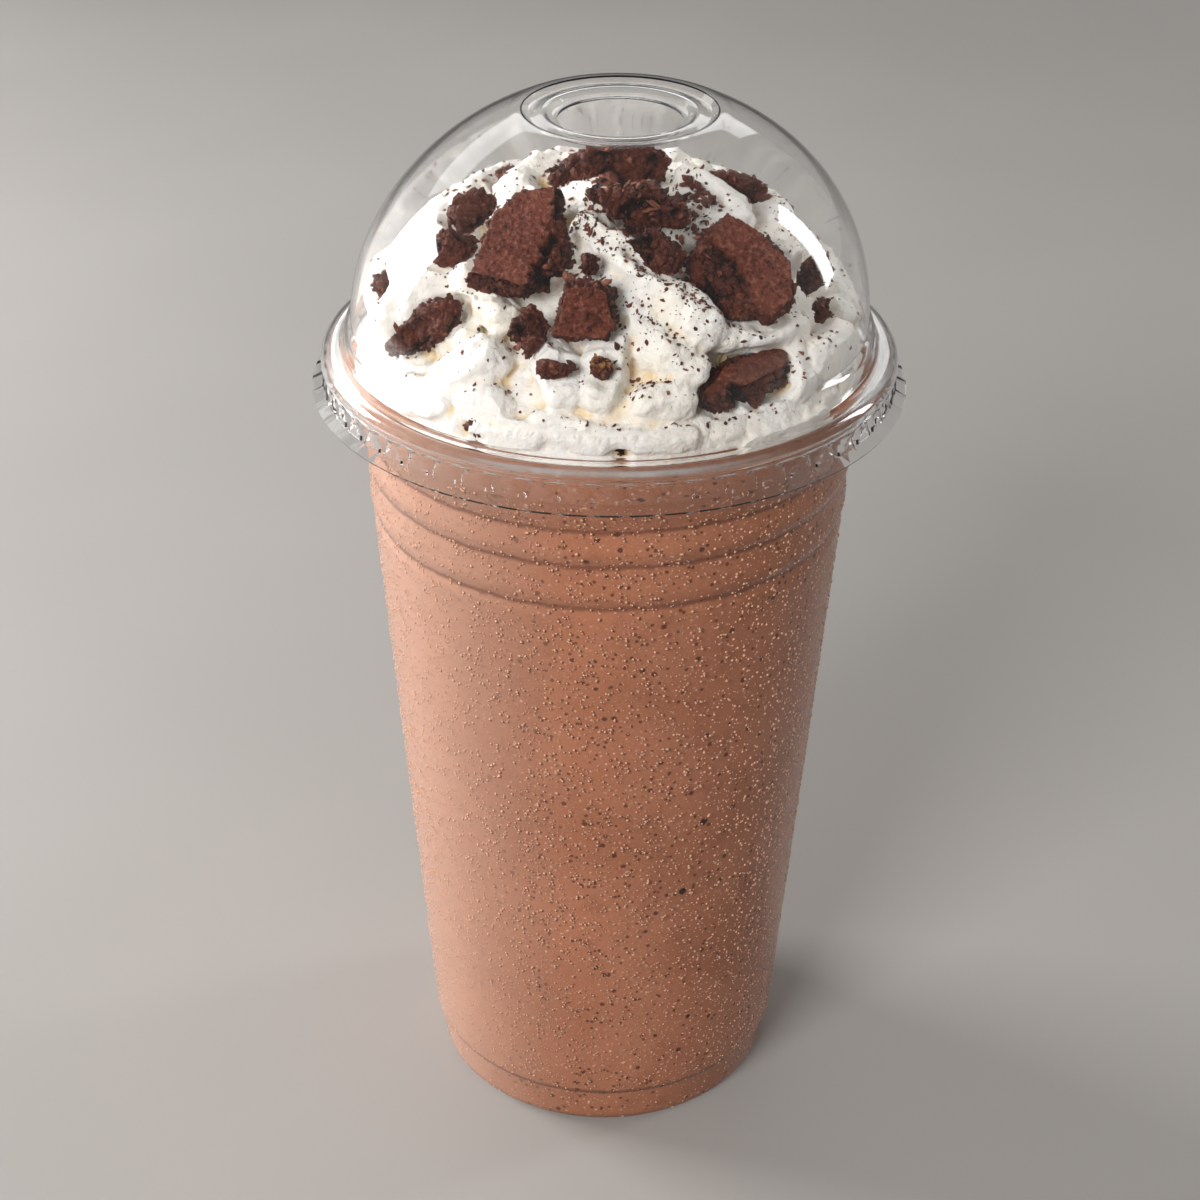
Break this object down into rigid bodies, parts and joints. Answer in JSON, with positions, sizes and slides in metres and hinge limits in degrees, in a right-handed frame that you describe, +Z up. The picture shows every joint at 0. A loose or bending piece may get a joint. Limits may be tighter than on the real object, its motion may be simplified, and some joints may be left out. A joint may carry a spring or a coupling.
{
  "type": "chocolate milkshake",
  "caption": "Tall clear plastic cup of speckled chocolate milkshake under a clear domed lid with a straw hole, topped with whipped cream, broken chocolate cookie and crumbs",
  "frame": {"origin": "on the cup's axis at the height of the surface it stands on", "axes": "+Z up along the cup, -Y towards the side that the picture shows"},
  "size_m": [0.1028, 0.1028, 0.1922],
  "materials": {
    "clear_plastic": "thin clear moulded sheet, glossy, with small drops of dew outside",
    "milkshake": "thick blended drink, milk brown, full of pale bubbles and dark specks",
    "whipped_cream": "soft white cream with a low sheen",
    "cookie": "dark broken chocolate cookie, craggy, with smooth baked faces"
  },
  "bodies": {
    "root": {"cup": "clear_plastic", "milkshake": "milkshake", "whipped_cream": "whipped_cream", "dome_lid": "clear_plastic", "chunk_top": "cookie", "chunk_left": "cookie", "chunk_front": "cookie", "chunk_right": "cookie", "chunk_crumbly": "cookie", "chunk_crumbly_low": "cookie", "chunk_back_right": "cookie", "chunk_back_left": "cookie", "chunk_far_left": "cookie", "chunk_split": "cookie", "chunk_glossy": "cookie", "chunk_dark": "cookie", "chunk_dark_low": "cookie", "chunk_bump": "cookie", "chunk_beside": "cookie", "chunk_bar": "cookie", "chunk_bar_end": "cookie", "chunk_edge_left": "cookie", "chunk_rim_left": "cookie", "chunk_behind_left": "cookie", "chunk_behind_right": "cookie", "chunk_behind_low": "cookie", "chunk_behind_side": "cookie", "chunk_rim_front": "cookie"}
  },
  "joints": []
}
